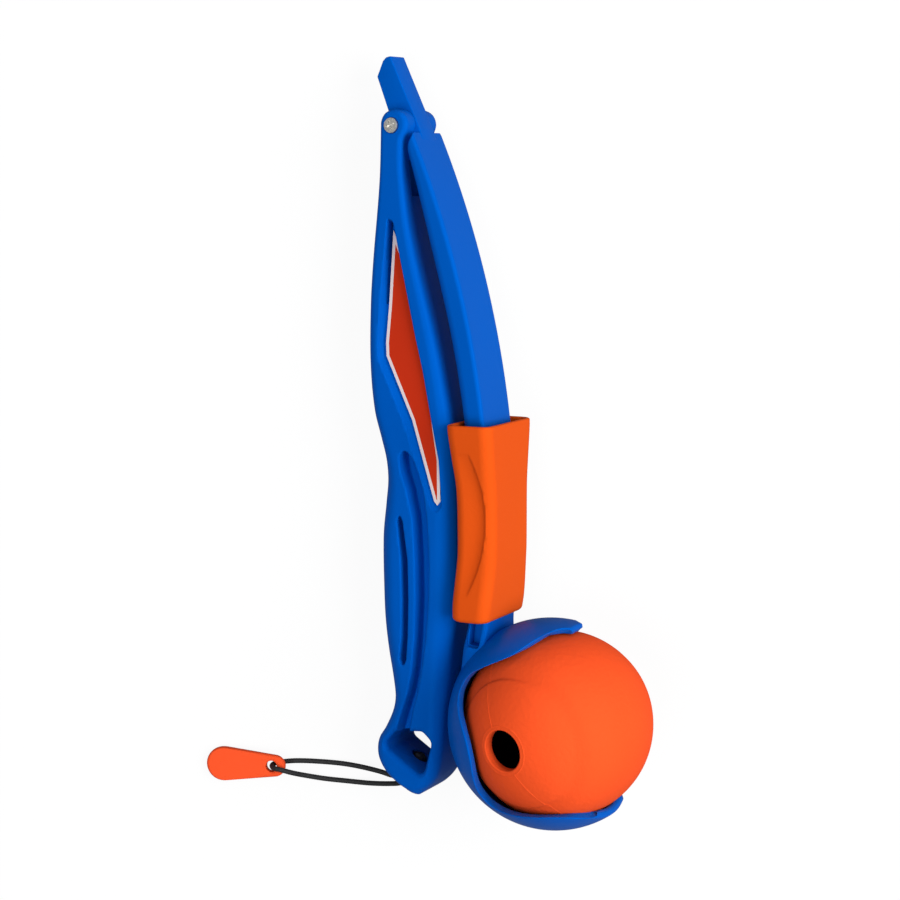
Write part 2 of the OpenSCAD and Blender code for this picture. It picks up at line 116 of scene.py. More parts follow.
# The loop's opening, a hull of discs, and the cord's hole from it, as [radius, place along it]
LOOP_CORNERS = np.array([[-0.8, -212.8], [9.4, -219.4], [11.6, -211], [9.8, -209.4], [1.4, -210.2]])
LOOP_CORNER_R = 2.4
CORD_HOLE_AT = np.array([4.2, -218.8, -1.0])
CORD_HOLE_ANGLE = 236.0
KNOT_SEAT = 5.0
CORD_HOLE = ((3.3, -1), (3.3, KNOT_SEAT), (2.4, KNOT_SEAT), (2.4, 16))

# The arm's arc, and the flat that clears the folded handle's neck
ARM_C = np.array([-306.534, -141.314])
ARM_R = 339.339
ARM_LEAN = 24.75
ARM_END = -7.61
SHOULDER_R = 7.832
ROOT_LEAN, ROOT_OFF = 15.0, 2.75
POCKET_FROM, POCKET_TO = -5.6, 6.8
POCKET_RIMS = (1.7, 1.9)
# The length in which the shoulder's slant runs out, and where the faces swell above the cup
SLANT_RUN, SWELL_Y = 16.0, (34.0, 23.0)
# The tongue's disc about the hinge and its tang
TONGUE_R = 5.0
TANG = np.array([
    [-2.6, -12], [5.2, -12], [6.2, -4], [6.2, 22.6], [4.6, 23], [3, 22.4], [-1.2, 18.6], [-2.6, 0]])

# The cup, and its rim seen along the hinge axis, in cup radii
CUP_C = np.array([56.01, -200.5, 0.0])
SCOOP = np.array([
    [0.24, 0.961], [0.183, 0.969], [0.131, 0.965], [0.081, 0.945], [0.03, 0.914], [-0.014, 0.88],
    [-0.095, 0.81], [-0.168, 0.752], [-0.252, 0.705], [-0.36, 0.65], [-0.495, 0.576],
    [-0.575, 0.524], [-0.636, 0.456], [-0.668, 0.366], [-0.66, 0.277], [-0.62, 0.178],
    [-0.54, 0.06], [-0.474, -0.08], [-0.446, -0.24], [-0.452, -0.416], [-0.445, -0.54],
    [-0.395, -0.65], [-0.275, -0.718], [-0.1, -0.734], [0.1, -0.721], [0.26, -0.706],
    [0.39, -0.711], [0.48, -0.73], [0.54, -0.745], [0.59, -0.75]])
# The rim's lean at the lips, the rho in which it sets in, and where the upper lip is drawn in
LIP_LEAN, LIP_RHO, LIP_TURN = 0.6, (0.74, 0.95), (2.4, 1.4)

# The ball, its caps, and the plane on which its mould parted, in degrees about the hole
BALL_C = np.array([57.791, -200.75, 0.0])
BALL_TILT = (5.5, -12.3)
BALL_CAP_R = 21.8
BALL_PARTING = 119.0
# The shoulder's rise and fall, in radians from the hole, and the flashes' height and half width
SHOULDER_RISE, SHOULDER_FALL = (0.78, 0.98), (1.52, 1.08)
RING_FLASH, SEAM_FLASH = (0.13, 0.2), (0.12, 0.17)

# The sleeve's sections, as [distance from the mouth, centre's x, width, depth]
SLEEVE_AT = np.array([30.4567, -99.0])
SLEEVE_FORM = np.array([
    [0, 0.6, 16.8, 35.4], [3, 0.7, 16.7, 35.2], [12, 1.2, 15.8, 33], [20, 1.7, 15, 30.8],
    [26, 1.9, 14.8, 30], [34, 2, 14.7, 29.8], [44, 2, 14.6, 29.9], [50, 1.6, 14.6, 30.6],
    [56, 1.1, 14.6, 31.6], [62, 0.6, 14.3, 32.4], [67, 0.2, 13.6, 32]])
# The leaf-shaped dents: middle and half length along the sleeve, and the edge's three terms
LEAF_MID, LEAF_HALF = 33.5, 24.0
LEAF_EDGE = (1.0, 5.6, 0.5)

# The pull tag's hole in the laid-down frame, and its outline: two discs about these x
TAG_AT = np.array([-84.3, -117.7, 4.6])
TAG_TILT = 7.484
TAG_DISCS = ((1.0, 3.9), (-17.7, 6.1))

# The cord's route in the laid-down frame: out of the loop, through the tag and back
CORD_ROUTE = np.array([
    [-32.9, -112.4, 12.2], [-34.4, -114.9, 11.5], [-36, -117.5, 10.7], [-37.8, -119.3, 9.6],
    [-40.8, -120, 7.8], [-45.8, -119.2, 5.2], [-53, -118.3, 2.4], [-60.4, -117.5, 1.1],
    [-69.3, -116.9, 1], [-76, -116.8, 1], [-80.7, -117.2, 1], [-83.3, -117.5, 2],
    [-84.3, -117.7, 4.6], [-83.3, -118, 7.2], [-80.7, -118.3, 8.2],
    [-77, -119.8, 6.4], [-72.7, -121.6, 3], [-65.8, -123.2, 1.1], [-58.6, -123.9, 1.1],
    [-49.5, -124.2, 2.8], [-42.2, -123.4, 6], [-38.2, -122.3, 8.6], [-35.2, -120.1, 11],
    [-34.4, -118.7, 11.5], [-32.8, -116.2, 12.25], [-31.3, -113.6, 13]])

# Each slot's look: the ends of its tone and of its roughness, its grain as scale and height, the
# level and the tint of its sheen, and 1 where it is metal
LOOKS = {
    "blue_plastic": (
        (0.0, 0.093, 0.49), (0.0, 0.107, 0.55), (0.26, 0.4), (1400, 0.05), 0.1, (0, 0.3, 1)),
    "orange_plastic": (
        (0.73, 0.082, 0.006), (0.8, 0.097, 0.01), (0.46, 0.58), (1100, 0.1), 0.08, (1, 0.3, 0.08)),
    "label_print": (
        (0.57, 0.031, 0.008), (0.62, 0.037, 0.011), (0.35, 0.5), (700, 0.05), 0.06, (1, 0.3, 0.1)),
    "label_edge": ((0.78, 0.66, 0.66), (0.84, 0.72, 0.72), (0.35, 0.5), (700, 0.05), 0.1),
    "ball_rubber": (
        (0.9, 0.086, 0.017), (0.98, 0.101, 0.024), (0.6, 0.78), (620, 0.35), 0.08, (1, 0.3, 0.1)),
    "tag_rubber": (
        (0.95, 0.09, 0.022), (1.0, 0.105, 0.03), (0.5, 0.62), (900, 0.15), 0.08, (1, 0.35, 0.15)),
    "cord_fabric": ((0.008, 0.008, 0.009), (0.014, 0.014, 0.015), (0.55, 0.75), (2600, 0.5)),
    "steel": (
        (0.86, 0.84, 0.79), (0.95, 0.93, 0.88), (0.24, 0.36), (1800, 0.12), 0.5, (1, 1, 1), 1.0),
}
# Painted shade: the colour that darkens the ball's hollow inside, where it lies in deep shade
INSIDE_SHADE_COLOUR = (0.012, 0.002, 0.001)

# The lamps as place, size and power, the point that they aim at, and the world's strength
LAMPS = {
    "key": ((1.0, 0.1, 0.95), 1.2, 21), "fill": ((-0.5, -0.3, 1.35), 1.0, 9),
    "top": ((0.0, 1.1, 0.9), 1.2, 3)}
LAMP_AIM = np.array([0, 0, 0.03])
WORLD_LIGHT = 0.17


def turned(points, about_x, about_y):
    """Points turned about X, then about Y, in degrees: p' = Ry Rx p."""
    a, b = math.radians(about_x), math.radians(about_y)
    rx = np.array([[1, 0, 0], [0, math.cos(a), -math.sin(a)], [0, math.sin(a), math.cos(a)]])
    ry = np.array([[math.cos(b), 0, math.sin(b)], [0, 1, 0], [-math.sin(b), 0, math.cos(b)]])
    return points @ (ry @ rx).T


def laid(points):
    """Flat-frame points in millimetres, rolled on to the launcher's back, in metres."""
    return (turned(points, *LAY_TURN) + LAY_MOVE) * MM


def along(table, key, column=1):
    """A table's column at keys, on Hermite cubics with central-difference slopes."""
    t = table if table[0, 0] < table[-1, 0] else table[::-1]
    x, y = t[:, 0], t[:, column]
    slope = np.empty_like(y)
    slope[1:-1] = (y[2:] - y[:-2]) / (x[2:] - x[:-2])
    slope[[0, -1]] = (y[1] - y[0]) / (x[1] - x[0]), (y[-1] - y[-2]) / (x[-1] - x[-2])
    i = np.clip(np.searchsorted(x, key) - 1, 0, len(x) - 2)
    d = x[i + 1] - x[i]
    s = (key - x[i]) / d
    ends = y[i] * (1 + 2 * s) * (1 - s) ** 2 + y[i + 1] * s * s * (3 - 2 * s)
    return ends + d * s * (1 - s) * (slope[i] * (1 - s) - slope[i + 1] * s)


def curve_through(points, steps):
    """Catmull-Rom curve through points, with steps from each to the next."""
    p = np.vstack([points[:1], points, points[-1:]])
    s = np.linspace(0, 1, steps, endpoint=False)[None, :, None]
    a, b, c, d = (p[k:len(p) - 3 + k, None] for k in range(4))
    spans = (2 * b + (c - a) * s + (2 * a - 5 * b + 4 * c - d) * s ** 2
             + (3 * b - a - 3 * c + d) * s ** 3) / 2
    return np.vstack([spans.reshape(-1, points.shape[1]), points[-1:]])


def smoothstep(low, high, x):
    """0 up to low, 1 from high, and 3t^2 - 2t^3 between them; it falls where high is the lower."""
    t = np.clip((x - low) / (high - low), 0, 1)
    return t * t * (3 - 2 * t)


def run_out(d, r):
    """How far a rounded edge falls back at distance d from its end: r - sqrt(r^2 - (r - d)^2)."""
    gone = r - np.clip(d, 0, r)
    return r - np.sqrt(np.maximum(r * r - gone * gone, 0))


def section(x0, x1, h, radii, corner=8, flat=14, side=8):
    """Closed rings (x, z) of a rounded box, one per entry of the arrays.

    Corner k turns through 90 degrees on radii[k]; straight runs of flat and side points join them.
    """
    x0, x1, h = (np.asarray(v, float)[:, None] for v in np.broadcast_arrays(x0, x1, h))
    arcs, widest = [], np.minimum((x1 - x0) * 0.49, h * 0.98)
    for k, r in enumerate(radii):
        r = np.minimum(np.broadcast_to(r, len(x0))[:, None], widest)
        a = np.radians(90) * (k + np.linspace(0, 1, corner + 1))[None, :]
        x = (x1 - r if k % 3 == 0 else x0 + r) + r * np.cos(a)
        z = (h - r if k < 2 else r - h) + r * np.sin(a)
        arcs.append(np.stack([x, z], -1))
    runs = []
    for k, arc in enumerate(arcs):
        s = np.linspace(0, 1, (flat if k % 2 == 0 else side) + 2)[1:-1, None]
        runs += [arc, arc[:, -1:] * (1 - s) + arcs[(k + 1) % 4][:, :1] * s]
    return np.concatenate(runs, axis=1)


def distances(line):
    """The distance along a line to each of its points."""
    return np.r_[0, np.cumsum(np.linalg.norm(np.diff(line, axis=0), axis=1))]


def outlines(shapes, count, soft):
    """Closed polygons with matching corners, resampled together and blurred along their length.

    The first shape's arc length places the points, and a Gaussian of soft mm rounds the corners:
    each Fourier term f is scaled by exp(-2 (pi f soft)^2).
    """
    closed = [np.vstack([s, s[:1]]) for s in shapes]
    at = distances(closed[0])
    fine = np.linspace(0, at[-1], 4 * count, endpoint=False)
    gain = np.exp(-2 * (np.pi * np.fft.fftfreq(len(fine), at[-1] / len(fine)) * soft) ** 2)[:, None]
    lines = []
    for c in closed:
        p = np.stack([np.interp(fine, at, c[:, k]) for k in (0, 1)], -1)
        lines.append(np.fft.ifft(np.fft.fft(p, axis=0) * gain, axis=0).real[::4])
    return lines


def grown(line, d):
    """A closed line moved outwards along its normals by d."""
    t = np.roll(line, -1, 0) - np.roll(line, 1, 0)
    n = np.stack([t[:, 1], -t[:, 0]], -1) / np.linalg.norm(t, axis=1, keepdims=True)
    x, y = line.T
    turn = np.sign(np.sum(x * np.roll(y, -1) - y * np.roll(x, -1)))
    return line + turn * n * d


def stack(levels):
    """Rings of a solid from (closed line, height) levels; a height may vary along its line."""
    return np.stack([
        np.column_stack([line, np.broadcast_to(z, len(line))]) for line, z in levels])


def whole_turn(count):
    """Even angles, once round."""
    return np.linspace(0, 2 * math.pi, count, endpoint=False)


def circle(r, count=160):
    """A closed circle of radius r about the origin."""
    a = whole_turn(count)
    return r * np.stack([np.cos(a), np.sin(a)], -1)


def lathe(*levels):
    """Rings of a turned solid from (radius, height) levels."""
    return stack([(circle(r), z) for r, z in levels])


def slab(line, low, high, r):
    """Rings of a plate whose edges are rounded by a quarter circle of radius r."""
    a = np.radians(np.linspace(0, 90, 5))
    foot = [(grown(line, -r * (1 - math.sin(t))), low + r * (1 - math.cos(t))) for t in a]
    head = [(grown(line, -r * (1 - math.cos(t))), high - r * (1 - math.sin(t))) for t in a]
    return stack(foot + head)


def flared(line, face, flare, past, turns):
    """Levels of a flare at a face: an arc of radius flare to 60 degrees, then straight past it."""
    steep = math.radians(60)
    levels = [(grown(line, flare * (1 - math.cos(t))), face - flare + flare * math.sin(t))
              for t in np.radians(turns)]
    rest = past + flare * (1 - math.sin(steep))
    return levels + [(grown(line, flare / 2 + rest * math.tan(steep)), face + past)]


def pocket(rim, floor, floor_z, face, fillet, flare):
    """Rings of a cutter: a filleted floor, a ruled wall up to the rim and a flare at the face."""
    levels = [
        (grown(floor, -fillet * (1 - math.sin(t))), floor_z + fillet * (1 - math.cos(t)))
        for t in np.radians(np.linspace(0, 90, 4))]
    low, high = floor_z + fillet, face - flare
    levels += [(floor * (1 - s) + rim * s, low * (1 - s) + high * s) for s in (0.35, 0.7, 1.0)]
    return stack(levels + flared(rim, face, flare, 0.3, (20, 40, 60)))


def channel(table, left_slope, right_slope, count, soft):
    """Rim and floor outlines of a face channel, with walls that lean in by a share of its width."""
    y, left, right = table.T
    w = right - left

    def outline(x0, x1):
        return np.vstack([np.column_stack([x0, y]), np.column_stack([x1, y])[::-1]])

    floor = outline(left + left_slope * w, right - right_slope * w)
    return outlines([outline(left, right), floor], count, soft)


def along_y(xz, y):
    """Sections (x, z), each put at its own y."""
    return np.stack([xz[..., 0], np.broadcast_to(y[:, None], xz.shape[:2]), xz[..., 1]], -1)


def on_arc(rho, angle, z):
    """Points about the centre of the arm's arc, c + rho (cos a, sin a), at height z."""
    x, y = ARM_C[0] + rho * np.cos(angle), ARM_C[1] + rho * np.sin(angle)
    return np.stack([x, y, np.broadcast_to(z, x.shape)], -1)


def revolved(rho, z, turn):
    """Points about the Z axis: (rho cos a, rho sin a, z) at each turn a."""
    return np.stack([rho * np.cos(turn), rho * np.sin(turn), z + 0 * turn], -1)


def ridge(d, height, width):
    """A thin ridge at distance d from its crest: height exp(-(d / width)^2)."""
    return height * np.exp(-(d / width) ** 2)


def mesh_object(name, grids, closed=False):
    """One object from grids of closed rings, in metres, each capped or, if closed, a torus."""
    points, faces = [], []
    for grid in grids:
        n, m = grid.shape[:2]
        base = sum(len(p) for p in points)
        i, j = np.arange(n if closed else n - 1)[:, None], np.arange(m)[None, :]
        k, after = (i + 1) % n * m, (j + 1) % m
        quads = base + np.stack([i * m + j, i * m + after, k + after, k + j], -1).reshape(-1, 4)
        ends = range(base + m - 1, base - 1, -1), range(base + (n - 1) * m, base + n * m)
        points.append(grid.reshape(-1, 3))
        faces += quads.tolist() + [list(end) for end in ends if not closed]
    mesh = bpy.data.meshes.new(name)
    mesh.from_pydata(np.concatenate(points).tolist(), [], faces)
    b = bmesh.new()
    b.from_mesh(mesh)
    bmesh.ops.remove_doubles(b, verts=b.verts, dist=2e-6)
    bmesh.ops.dissolve_degenerate(b, edges=b.edges, dist=1e-6)
    bmesh.ops.recalc_face_normals(b, faces=b.faces)
    b.to_mesh(mesh)
    b.free()
    obj = bpy.data.objects.new(name, mesh)
    bpy.context.scene.collection.objects.link(obj)
    return obj


def combine(obj, operation, grids):
    """Joins solids to obj, or cuts them from it, and keeps the result as obj's own mesh."""
    tool = mesh_object(obj.name + "_tool", grids)
    mod = obj.modifiers.new("combine", "BOOLEAN")
    mod.operation, mod.solver, mod.object = operation, "EXACT", tool
    graph = bpy.context.evaluated_depsgraph_get()
    mesh = bpy.data.meshes.new_from_object(obj.evaluated_get(graph))
    obj.modifiers.clear()
    old, obj.data = obj.data, mesh
    mesh.name = obj.name
    bpy.data.meshes.remove(old)
    bpy.data.meshes.remove(tool.data)


def dress(obj, slot):
    """Gives an object the material of a slot."""
    obj.data.materials.clear()
    obj.data.materials.append(material(slot))


def place(obj, body, node, slot, sharp=40.0):
    """Puts a finished piece in its node's stead on its body, smooth up to sharp degrees."""
    obj.data.shade_smooth()
    obj.data.set_sharp_from_angle(angle=math.radians(sharp))
    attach(obj, body)
    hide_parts(node)
    dress(obj, slot)


def handle_rings(s):
    """Rounded sections of the handle between its two edges, from the fork's end to the loop's.

    Past the hinge the edges follow the fork's round end, x = k +- sqrt(R^2 - (y - k)^2), and the
    thickness runs out at both ends on a quarter circle.
    """
    half = s.thickness / MM / 2
    top = KNUCKLE[1] + FORK_R
    end = np.sin(np.linspace(0, math.pi / 2 - 0.01, 46))
    y = np.r_[
        top - (1 - np.cos(np.linspace(0.02, math.pi / 2, 14))) * top,
        np.arange(-RING_STEP, LOOP_FROM, -RING_STEP),
        LOOP_BOTTOM + (LOOP_FROM - LOOP_BOTTOM) * (1 - end)]
    cap = np.sqrt(np.maximum(FORK_R ** 2 - (y - KNUCKLE[1]) ** 2, 0.01))
    low = np.minimum(y, 0)
    x0 = np.where(y > 0, KNUCKLE[0] - cap, along(LEFT_EDGE, low))
    x1 = np.where(y > 0, KNUCKLE[0] + cap, along(RIGHT_EDGE, low))
    h = half - run_out(top - y, s.fork_round / MM) - run_out(y - LOOP_BOTTOM, s.loop_round / MM)
    r = along(EDGE_ROUND, y)
    return along_y(section(x0, x1, h, (r, r, r, r)), y)


def face_pockets(s):
    """Cutters in the handle's face: the label's recess, the gap in it, the groove and the slot."""
    face = s.thickness / MM / 2
    rim, floor = outlines([RECESS_RIM, RECESS_FLOOR], 320, 0.45)
    fall = (s.recess_depth - s.recess_tip_depth) / MM / (RECESS_TOP - RECESS_TIP)
    recess_z = face - s.recess_depth / MM - fall * (floor[:, 1] - RECESS_TOP)
    gap = outlines([RECESS_GAP], 120, 0.25)[0]
    groove = channel(GROOVE, left_slope=0.1, right_slope=0.42, count=280, soft=0.8)
    slot = channel(SLOT, left_slope=0.12, right_slope=0.12, count=200, soft=0.35)
    return (
        pocket(rim, floor, recess_z, face, fillet=0.2, flare=0.35),
        slab(gap, face - s.gap_depth / MM, face - 1, 0.2),
        pocket(*groove, face - s.groove_depth / MM, face, fillet=0.5, flare=0.7),
        pocket(*slot, face - s.slot_depth / MM, face, fillet=0.3, flare=0.4))


def hinge_seat(face, bore, r, floor):
    """Cutter of a bore with a wider seat, which opens through one face on a chamfer."""
    side = math.copysign(1, floor)
    return lathe((bore, 2 * side), (bore, floor), (r, floor), (r, side * (face - 0.25)),
                 (r + 1.05, side * (face + 0.8)))


def loop_opening(s):
    """Cutter of the loop's opening, flared at both faces.

    Its outline is a hull of discs: p(a) = the corner furthest along n(a), plus r n(a).
    """
    n = circle(1.0, 240)
    hull = LOOP_CORNERS[np.argmax(n @ LOOP_CORNERS.T, axis=1)] + LOOP_CORNER_R * n
    line = outlines([hull], 160, 0.3)[0]
    side = flared(line, s.thickness / MM / 2, s.loop_flare / MM, 0.8, (0, 15, 30, 45, 60))
    return stack([(ring, -z) for ring, z in side[::-1]] + side)


def in_cord_hole(points):
    """Points about the start of the cord's hole, whose Z runs along the hole."""
    a = math.radians(CORD_HOLE_ANGLE)
    across, out = [-math.sin(a), math.cos(a), 0], [math.cos(a), math.sin(a), 0]
    return CORD_HOLE_AT + points @ np.array([across, [0, 0, 1], out])


def handle_cuts(s):
    """Cutters of the handle in rounds, so that no two in one round touch."""
    face = s.thickness / MM / 2
    radius, half = FORK_SLOT
    rounds = [[p, p * MIRROR] for p in face_pockets(s)]
    rounds += [
        [lathe((radius, -half), (radius, half)), loop_opening(s)],
        [hinge_seat(face, *SCREW_SEAT), hinge_seat(face, *BARREL_SEAT)],
        [in_cord_hole(lathe(*CORD_HOLE))]]
    return [[laid(grid) for grid in cutters] for cutters in rounds]


def arm_rings(s):
    """Sections of the throwing arm along its arc, p = c + rho (cos phi, sin phi).

    phi starts on the fork's round shoulder, |p| = R, where cos(phi - lean) comes from the cosine
    rule. The inner face keeps to the flat by the handle's neck, and the depth swells into the cup.
    """
    half_w, half_t = s.width / MM / 2, s.depth / MM / 2
    reach = np.linalg.norm(ARM_C)

    def shoulder(rho):
        bend = (reach ** 2 + rho ** 2 - SHOULDER_R ** 2) / (2 * rho * reach)
        return np.radians(ARM_LEAN) - np.arccos(np.minimum(bend, 1))

    u = np.r_[np.linspace(0, 0.04, 24) ** 1.5 / 0.04 ** 0.5, np.linspace(0.045, 1, 190)]
    first = shoulder(ARM_R)
    phi = first + u * (np.radians(ARM_END) - first)
    gone = (first - phi) * ARM_R
    lean = np.radians(ROOT_LEAN)
    n = np.array([math.cos(lean), math.sin(lean)])
    flat = (ROOT_OFF - ARM_C @ n) / np.cos(phi - lean)
    inner = np.maximum(ARM_R - half_w, np.where(phi > lean, flat, 0))
    inner = inner + run_out(gone, s.nose_round / MM)
    y = ARM_C[1] + ARM_R * np.sin(phi) - CUP_C[1]
    h = half_t - run_out(gone, 0.8) + s.swell / MM * smoothstep(*SWELL_Y, y)
    r, q = s.inner_round / MM, s.outer_round / MM
    sec = section(inner, ARM_R + half_w, h, (q, r, r, q), flat=8, side=12)
    rho = sec[..., 0]
    slant = np.clip(1 - gone / SLANT_RUN, 0, 1)[:, None] ** 2
    p = on_arc(rho, phi[:, None] + slant * (shoulder(rho) - first), sec[..., 1])
    away = p - CUP_C
    dist = np.linalg.norm(away, axis=-1, keepdims=True)
    inside = (s.cup_outer - s.cup_wall / 2) / MM
    return np.where(dist < inside, CUP_C + away * inside / dist, p)


def tongue_rings(s):
    """The flat tongue between the fork's cheeks: a disc about the hinge with its tang."""
    a = math.radians(ARM_LEAN)
    turn = np.array([[math.cos(a), math.sin(a)], [-math.sin(a), math.cos(a)]])
    half = s.tongue / MM / 2
    tang = outlines([TANG @ turn], 220, 0.12)[0]
    disc = circle(TONGUE_R, 96)
    return slab(tang, -half, half, 0.35), slab(disc, -half + 0.02, half - 0.02, 0.3)


def cup_rings(s):
    """The cup as C-shaped sections about its middle plane, from the upper lip to the lower one.

    At longitude t the shell ends at the scoop's outline, where q = rho(t) is the distance from the
    cup's axis. Its rim is a straight cut along that axis, z = sqrt(r^2 - rho^2) on each sphere, and
    leans outwards at the lips, where the inner sphere keeps a share of r sqrt(1 - rho^2 / R^2). Two
    Bezier corners round it, and the upper lip is drawn in towards the ball.
    """
    outer, inner = s.cup_outer / MM, (s.cup_outer - s.cup_wall) / MM
    scoop = curve_through(SCOOP, 24)
    turn = np.unwrap(np.arctan2(scoop[:, 1], scoop[:, 0]))
    t = np.linspace(turn[0], turn[-1], 320)[:, None]
    share = np.interp(t, turn, np.hypot(*scoop.T))
    thinned = run_out(np.minimum(t - t[0], t[-1] - t) * outer, s.lip_round / MM)
    outer, inner = outer - thinned, inner + thinned
    rho, top = outer * share, outer * np.sqrt(1 - share ** 2)
    leaning = LIP_LEAN * inner * np.sqrt(1 - share ** 2)
    straight = np.maximum(inner ** 2 - rho ** 2, 0)
    foot = np.sqrt(straight + leaning ** 2 * smoothstep(*LIP_RHO, share))

    def corner(p, q, r):
        k = np.linspace(0, 1, 6)
        return (1 - k) ** 2 * p + 2 * k * (1 - k) * q + k ** 2 * r

    def on_sphere(z, radius):
        return np.sqrt(radius ** 2 - z ** 2)

    rho_in = on_sphere(foot, inner)
    rim = np.hypot(rho - rho_in, top - foot)
    edge = np.minimum(s.rim_round / MM, 0.3 * rim)
    step_q, step_z = (rho_in - rho) / rim * edge, (foot - top) / rim * edge
    z_out, z_in = top - edge * share, foot - edge * 0.7
    q_out, q_in = on_sphere(z_out, outer), on_sphere(z_in, inner)
    k = np.linspace(0, 1, 48)[1:-1]
    up = np.sin((k - 0.5) * 2 * np.arcsin(z_out / outer)) * outer
    down = z_in * (1 - 2 * k)
    rim_q = np.hstack([corner(q_out, rho, rho + step_q), corner(rho_in - step_q, rho_in, q_in)])
    rim_z = np.hstack([corner(z_out, top, top + step_z), corner(foot - step_z, foot, z_in)])
    q = np.hstack([on_sphere(up, outer), rim_q, on_sphere(down, inner), rim_q[:, ::-1]])
    z = np.hstack([up, rim_z, down, -rim_z[:, ::-1]])
    drawn = 1 - s.lip_draw / s.cup_outer * smoothstep(*LIP_TURN, t)
    return CUP_C + revolved(q * drawn, z * drawn, t)


def arm_pocket(s):
    """Cutter of the lightening pocket in the arm's front, along the arc beside the cup."""
    half_w, half_t = s.width / MM / 2, s.depth / MM / 2
    phi = np.radians(np.linspace(POCKET_FROM, POCKET_TO, 60))
    inner, outer = ARM_R - half_w + POCKET_RIMS[0], ARM_R + half_w - POCKET_RIMS[1]
    line = np.vstack([on_arc(inner, phi, 0), on_arc(outer, phi, 0)[::-1]])[:, :2]
    line = outlines([line], 240, 0.5)[0]
    return stack([(line, half_t - s.pocket_depth / MM), (line, half_t - 0.3),
                  (grown(line, 0.3), half_t), (grown(line, 0.6), half_t + 8)])


def leaf_dent(x, y, z, s):
    """Depth of the leaf-shaped dent at points of the sleeve's faces.

    It falls off steeply at the leaf's outer edge, x = x0 + w (1 - v^2) + k v, and runs out gently
    towards the sleeve's inner side, where v is the place along the leaf from -1 to 1.
    """
    off, bulge, lean = LEAF_EDGE
    v = np.clip((y - SLEEVE_AT[1] + LEAF_MID) / LEAF_HALF, -1, 1)
    inward = SLEEVE_AT[0] + off + bulge * (1 - v * v) + lean * v - x
    cut = smoothstep(0, 1, inward) * smoothstep(10, 1.4, inward)
    return s.dent_depth / MM * cut * np.sqrt(1 - v * v) * np.sign(z)


def sleeve_rings(s):
    """The sleeve's outside from its foot to its mouth, and its inside back down to the collar."""
    length, wall, foot, round_r = (v / MM for v in (s.length, s.wall, s.foot_round, s.round))

    def rings(d, shrink, r):
        x = SLEEVE_AT[0] + along(SLEEVE_FORM, d)
        w = along(SLEEVE_FORM, d, 2) / 2 - shrink
        t = along(SLEEVE_FORM, d, 3) / 2 - shrink
        xz = section(x - w, x + w, t, (r, r, r, r), corner=10, flat=40, side=16)
        return along_y(xz, SLEEVE_AT[1] - d)

    edge = np.radians(np.linspace(0, 90, 6))
    d = np.r_[length - foot * (1 - np.cos(edge)), np.linspace(length - foot - 0.6, 0.6, 130)]
    shrink = np.r_[foot * (1 - np.sin(edge)), np.zeros(130)]
    outside = rings(d, shrink, round_r - shrink * 0.5)
    x, y, z = np.moveaxis(outside, -1, 0)
    outside[..., 2] = z - np.where(np.abs(z) > 9, leaf_dent(x, y, z, s), 0)
    lip = np.radians(np.linspace(0, 180, 9))
    shrink = wall / 2 * (1 - np.cos(lip))
    mouth = rings(0.6 - 0.6 * np.sin(lip), shrink, round_r - shrink)
    depth = np.linspace(0.8, length - s.collar / MM, 30)
    inside = rings(depth, np.full(30, wall), round_r - wall)
    return np.concatenate([outside, mouth, inside])


def sleeve_passage(s):
    """Cutter that lets the arm through the sleeve's collar: the arm's section along its arc."""
    half_w, half_t, gap = s.width / MM / 2, s.depth / MM / 2, 0.3
    phi = np.radians(np.linspace(-7, 9, 60))
    r, q = s.inner_round / MM, s.outer_round / MM
    inner = np.full_like(phi, ARM_R - half_w - gap)
    sec = section(inner, ARM_R + half_w + gap, half_t + gap, (q, r, r, q), flat=2, side=4)
    return on_arc(sec[..., 0], phi[:, None], sec[..., 1])


def ball_rings(s):
    """The ball as rings about its hole: rho = r sin t, z = r cos t, then back through the hole.

    r rises by the cap's height inside the cap's radius, on a step that softens towards the ball's
    free side. Behind that step the side with the hole swells to a low shoulder. Thin flashes stand
    round the hole and along the plane on which the mould parted.
    """
    radius, hole, wall = s.diameter / MM / 2, s.hole / MM / 2, s.wall / MM
    mouth, ring = hole + s.chamfer / MM, s.ring / MM
    parting = math.radians(BALL_PARTING)
    fine = np.linspace(-0.08, 0.08, 41)
    turn = np.r_[whole_turn(240), parting + fine, parting + math.pi + fine]
    turn = np.unique(np.round(turn, 4))
    first = math.asin(mouth / radius)
    near, far = np.linspace(0, 0.09, 30), np.linspace(first + 0.1, math.pi - first - 0.1, 190)
    t = np.r_[first + near, far, math.pi - first - near[::-1]][:, None]
    rho = radius * np.sin(t)
    soft = 0.45 + 4.5 * smoothstep(0.25, 0.95, np.cos(turn - math.radians(12)))
    r = radius + s.cap / MM * smoothstep(-1, 1, (BALL_CAP_R - rho) / soft)
    r = r + ridge(rho - hole - ring, *RING_FLASH)
    seam = ridge(rho * np.sin(turn - parting), *SEAM_FLASH)
    r = r + np.where(np.abs(rho - hole) > ring, seam, 0)
    r = r + s.shoulder / MM * smoothstep(*SHOULDER_RISE, t) * smoothstep(*SHOULDER_FALL, t)
    shell = revolved(r * np.sin(t), r * np.cos(t), turn)
    top, room = radius * math.cos(first), radius - wall
    bend = np.linspace(math.asin((hole + 4) / room), math.pi / 2, 24)
    rho = np.r_[mouth - 0.25, hole + 0.1, hole, hole, hole + 0.5, room * np.sin(bend)]
    z = np.r_[top + 0.35, top - 0.1, top - 0.6, top - 2.6, top - 3.2, room * np.cos(bend)]
    rho, z = np.r_[rho, rho[-2::-1]], np.r_[z, -z[-2::-1]]
    bore = revolved(rho[:, None], z[:, None], turn)
    return np.concatenate([shell, bore[::-1]])


